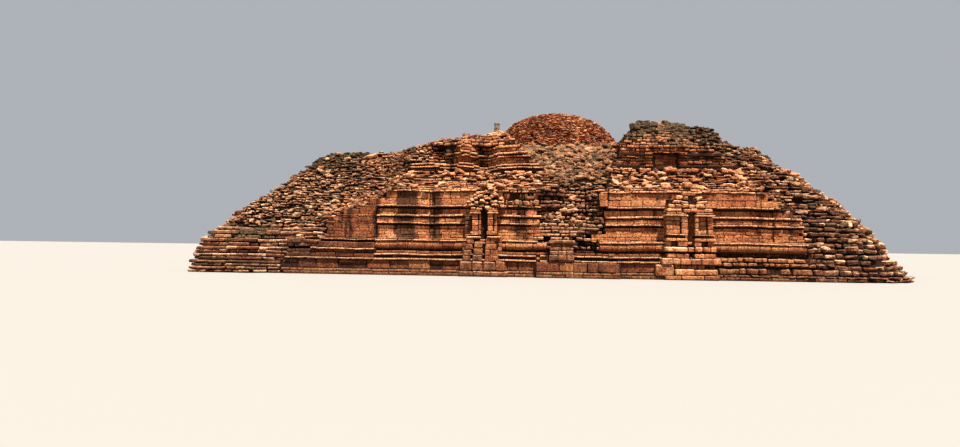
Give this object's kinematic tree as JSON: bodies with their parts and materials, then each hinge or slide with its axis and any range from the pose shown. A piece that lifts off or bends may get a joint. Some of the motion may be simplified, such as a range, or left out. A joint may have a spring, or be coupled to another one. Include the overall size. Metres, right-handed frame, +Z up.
{
  "type": "scale model of a ruined stupa",
  "caption": "Square laterite stupa base in moulded tiers with stairs, false shrines, collapsed corners and a rounded red-brick mound on top, as a half-size model.",
  "frame": {"origin": "centre of the footprint, on the ground", "axes": "+Z up; the front stair faces -Y, the right side faces +X"},
  "size_m": [34.6124, 31.8824, 9.9255],
  "materials": {
    "laterite_masonry": "weathered pitted laterite blocks, orange-brown with dark water stains",
    "laterite_rubble": "loose and fallen laterite blocks, brown with grey lichen",
    "laterite_footing": "large laterite slabs, dark at the ground",
    "red_brick": "eroded thin red bricks",
    "earth_fill": "dry earth and small rubble",
    "grey_stone": "rough grey-brown stone"
  },
  "bodies": {
    "root": {"back_shrine_left": "laterite_masonry", "back_shrine_right": "laterite_masonry", "back_stair_lower": "laterite_rubble", "back_stair_upper": "laterite_rubble", "back_upper_wall_left": "laterite_masonry", "back_upper_wall_right": "laterite_masonry", "back_wall_left": "laterite_masonry", "back_wall_right": "laterite_masonry", "brick_mound": "red_brick", "corner_back_left": "laterite_rubble", "corner_back_right": "laterite_rubble", "corner_front_left": "laterite_rubble", "corner_front_right": "laterite_rubble", "footing_course": "laterite_footing", "front_shrine_left": "laterite_masonry", "front_shrine_right": "laterite_masonry", "front_stair_lower": "laterite_rubble", "front_stair_upper": "laterite_rubble", "front_upper_wall_left": "laterite_masonry", "front_upper_wall_right": "laterite_masonry", "front_wall_left": "laterite_masonry", "front_wall_right": "laterite_masonry", "left_shrine_left": "laterite_masonry", "left_shrine_right": "laterite_masonry", "left_stair_lower": "laterite_rubble", "left_stair_upper": "laterite_rubble", "left_upper_wall_left": "laterite_masonry", "left_upper_wall_right": "laterite_masonry", "left_wall_left": "laterite_masonry", "left_wall_right": "laterite_masonry", "lower_terrace_fill": "laterite_rubble", "right_shrine_left": "laterite_masonry", "right_shrine_right": "laterite_masonry", "right_stair_lower": "laterite_rubble", "right_stair_upper": "laterite_rubble", "right_upper_wall_left": "laterite_masonry", "right_upper_wall_right": "laterite_masonry", "right_wall_left": "laterite_masonry", "right_wall_right": "laterite_masonry", "standing_stone": "grey_stone", "upper_terrace_fill": "earth_fill"}
  },
  "joints": []
}
